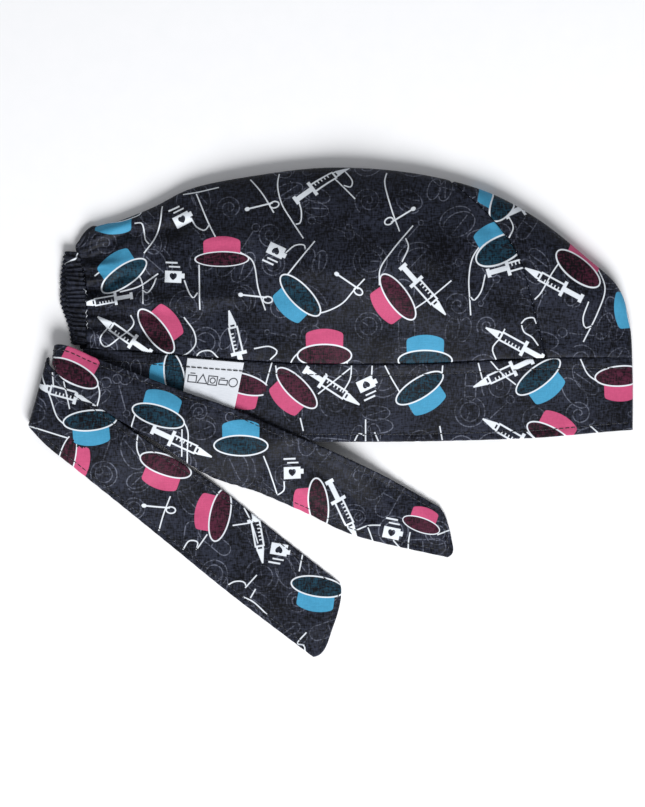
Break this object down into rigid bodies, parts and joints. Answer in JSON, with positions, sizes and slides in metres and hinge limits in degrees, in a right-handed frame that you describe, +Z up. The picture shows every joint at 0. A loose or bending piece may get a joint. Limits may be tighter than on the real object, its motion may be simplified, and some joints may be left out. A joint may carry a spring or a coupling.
{
  "type": "surgical scrub cap",
  "caption": "Printed cloth scrub cap with a gathered elastic nape, a forehead band and long folded-back ties, laid flat on its side with its head hollow open.",
  "frame": {"origin": "middle of the footprint of the cap as it lies on its side, on the surface it lies on", "axes": "+X from the gathered nape to the forehead, the long way of the laid cap; +Y from the hem to the top of the crown; +Z up from the surface, through the folded cap's thickness"},
  "size_m": [0.3031, 0.2486, 0.0259],
  "materials": {
    "printed_poplin": "smooth black poplin printed with white line drawings and cyan and pink shapes",
    "label_satin": "white satin ribbon"
  },
  "bodies": {
    "root": {"crown_back": "printed_poplin", "crown_front": "printed_poplin", "band": "printed_poplin", "back_casing": "printed_poplin", "tie_right": "printed_poplin", "tie_left": "printed_poplin", "label": "label_satin"}
  },
  "joints": []
}
